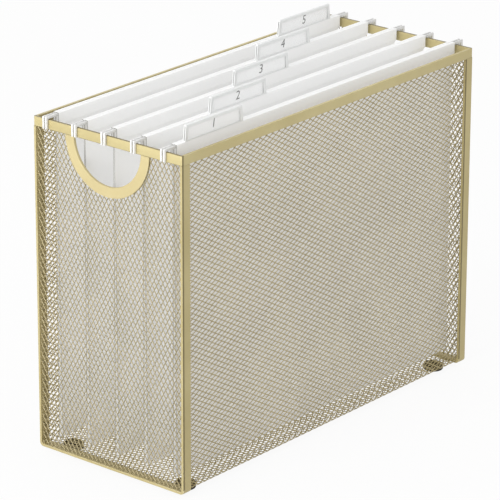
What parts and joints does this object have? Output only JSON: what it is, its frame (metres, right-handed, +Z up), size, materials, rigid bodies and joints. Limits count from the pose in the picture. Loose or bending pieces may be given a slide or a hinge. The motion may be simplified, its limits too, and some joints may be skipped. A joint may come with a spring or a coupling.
{
  "type": "hanging file organizer",
  "caption": "Desktop organizer for hanging file folders: a flat-bar metal frame with mesh walls and half-round hand holes, holding tabbed folders on its top rim.",
  "frame": {"origin": "on the table under the middle of the frame; z = 0 is the underside of the feet", "axes": "+X along the folders, towards the right end; +Y from the front long side to the back; +Z up"},
  "size_m": [0.3265, 0.133, 0.2609],
  "materials": {
    "frame_paint": "satin",
    "mesh_paint": "satin",
    "trim_paint": "satin",
    "folder_sheet": "matte",
    "rod_white": "satin",
    "tab_clear": "clear, gloss",
    "label_card": "matte",
    "foot_rubber": "matte"
  },
  "bodies": {
    "frame": {"top_rim": "frame_paint", "end_frame_left": "frame_paint", "end_frame_right": "frame_paint", "mesh_wrap": "mesh_paint", "end_mesh_left": "mesh_paint", "end_mesh_right": "mesh_paint", "handle_trim_left": "trim_paint", "handle_trim_right": "trim_paint", "foot_front_left": "foot_rubber", "foot_front_right": "foot_rubber", "foot_back_left": "foot_rubber", "foot_back_right": "foot_rubber"},
    "folder_1": {"folder_1_back_rod": "rod_white", "folder_1_back_panel": "folder_sheet"},
    "folder_1_front_half": {"folder_1_front_rod": "rod_white", "folder_1_front_panel": "folder_sheet"},
    "folder_1_tab": {"folder_1_tab": "tab_clear"},
    "folder_1_label": {"folder_1_label": "label_card"},
    "folder_2": {"folder_2_back_rod": "rod_white", "folder_2_back_panel": "folder_sheet"},
    "folder_2_front_half": {"folder_2_front_rod": "rod_white", "folder_2_front_panel": "folder_sheet"},
    "folder_2_tab": {"folder_2_tab": "tab_clear"},
    "folder_2_label": {"folder_2_label": "label_card"},
    "folder_3": {"folder_3_back_rod": "rod_white", "folder_3_back_panel": "folder_sheet"},
    "folder_3_front_half": {"folder_3_front_rod": "rod_white", "folder_3_front_panel": "folder_sheet"},
    "folder_3_tab": {"folder_3_tab": "tab_clear"},
    "folder_3_label": {"folder_3_label": "label_card"},
    "folder_4": {"folder_4_back_rod": "rod_white", "folder_4_back_panel": "folder_sheet"},
    "folder_4_front_half": {"folder_4_front_rod": "rod_white", "folder_4_front_panel": "folder_sheet"},
    "folder_4_tab": {"folder_4_tab": "tab_clear"},
    "folder_4_label": {"folder_4_label": "label_card"},
    "folder_5": {"folder_5_back_rod": "rod_white", "folder_5_back_panel": "folder_sheet"},
    "folder_5_front_half": {"folder_5_front_rod": "rod_white", "folder_5_front_panel": "folder_sheet"},
    "folder_5_tab": {"folder_5_tab": "tab_clear"},
    "folder_5_label": {"folder_5_label": "label_card"}
  },
  "joints": [
    {"name": "folder_1_slide", "type": "slide", "parent": "frame", "child": "folder_1", "axis": [0, 1, 0], "range_m": [-0.0082, 0.02]},
    {"name": "folder_1_open", "type": "hinge", "parent": "folder_1", "child": "folder_1_front_half", "pos_m": [0.00195, -0.05287, 0.01328], "axis": [1, 0, 0], "range_deg": [0, 2.1]},
    {"name": "folder_1_tab_lift", "type": "slide", "parent": "folder_1_front_half", "child": "folder_1_tab", "axis": [0, 0, 1], "range_m": [0, 0.008]},
    {"name": "folder_1_label_slide", "type": "slide", "parent": "folder_1_tab", "child": "folder_1_label", "axis": [1, 0, 0], "range_m": [-0.057, 0.057]},
    {"name": "folder_2_slide", "type": "slide", "parent": "frame", "child": "folder_2", "axis": [0, 1, 0], "range_m": [-0.02, 0.02]},
    {"name": "folder_2_open", "type": "hinge", "parent": "folder_2", "child": "folder_2_front_half", "pos_m": [0.00195, -0.02647, 0.01328], "axis": [1, 0, 0], "range_deg": [0, 2.4]},
    {"name": "folder_2_tab_lift", "type": "slide", "parent": "folder_2_front_half", "child": "folder_2_tab", "axis": [0, 0, 1], "range_m": [0, 0.008]},
    {"name": "folder_2_label_slide", "type": "slide", "parent": "folder_2_tab", "child": "folder_2_label", "axis": [1, 0, 0], "range_m": [-0.057, 0.057]},
    {"name": "folder_3_slide", "type": "slide", "parent": "frame", "child": "folder_3", "axis": [0, 1, 0], "range_m": [-0.02, 0.02]},
    {"name": "folder_3_open", "type": "hinge", "parent": "folder_3", "child": "folder_3_front_half", "pos_m": [0.00195, -0.00007, 0.01328], "axis": [1, 0, 0], "range_deg": [0, 2.4]},
    {"name": "folder_3_tab_lift", "type": "slide", "parent": "folder_3_front_half", "child": "folder_3_tab", "axis": [0, 0, 1], "range_m": [0, 0.008]},
    {"name": "folder_3_label_slide", "type": "slide", "parent": "folder_3_tab", "child": "folder_3_label", "axis": [1, 0, 0], "range_m": [-0.057, 0.057]},
    {"name": "folder_4_slide", "type": "slide", "parent": "frame", "child": "folder_4", "axis": [0, 1, 0], "range_m": [-0.02, 0.0164]},
    {"name": "folder_4_open", "type": "hinge", "parent": "folder_4", "child": "folder_4_front_half", "pos_m": [0.00195, 0.02632, 0.01328], "axis": [1, 0, 0], "range_deg": [0, 2.4]},
    {"name": "folder_4_tab_lift", "type": "slide", "parent": "folder_4_front_half", "child": "folder_4_tab", "axis": [0, 0, 1], "range_m": [0, 0.008]},
    {"name": "folder_4_label_slide", "type": "slide", "parent": "folder_4_tab", "child": "folder_4_label", "axis": [1, 0, 0], "range_m": [-0.057, 0.057]},
    {"name": "folder_5_slide", "type": "slide", "parent": "frame", "child": "folder_5", "axis": [0, 1, 0], "range_m": [-0.02, 0.006]},
    {"name": "folder_5_open", "type": "hinge", "parent": "folder_5", "child": "folder_5_front_half", "pos_m": [0.00195, 0.05273, 0.01328], "axis": [1, 0, 0], "range_deg": [0, 2.4]},
    {"name": "folder_5_tab_lift", "type": "slide", "parent": "folder_5_front_half", "child": "folder_5_tab", "axis": [0, 0, 1], "range_m": [0, 0.008]},
    {"name": "folder_5_label_slide", "type": "slide", "parent": "folder_5_tab", "child": "folder_5_label", "axis": [1, 0, 0], "range_m": [-0.057, 0.057]}
  ]
}
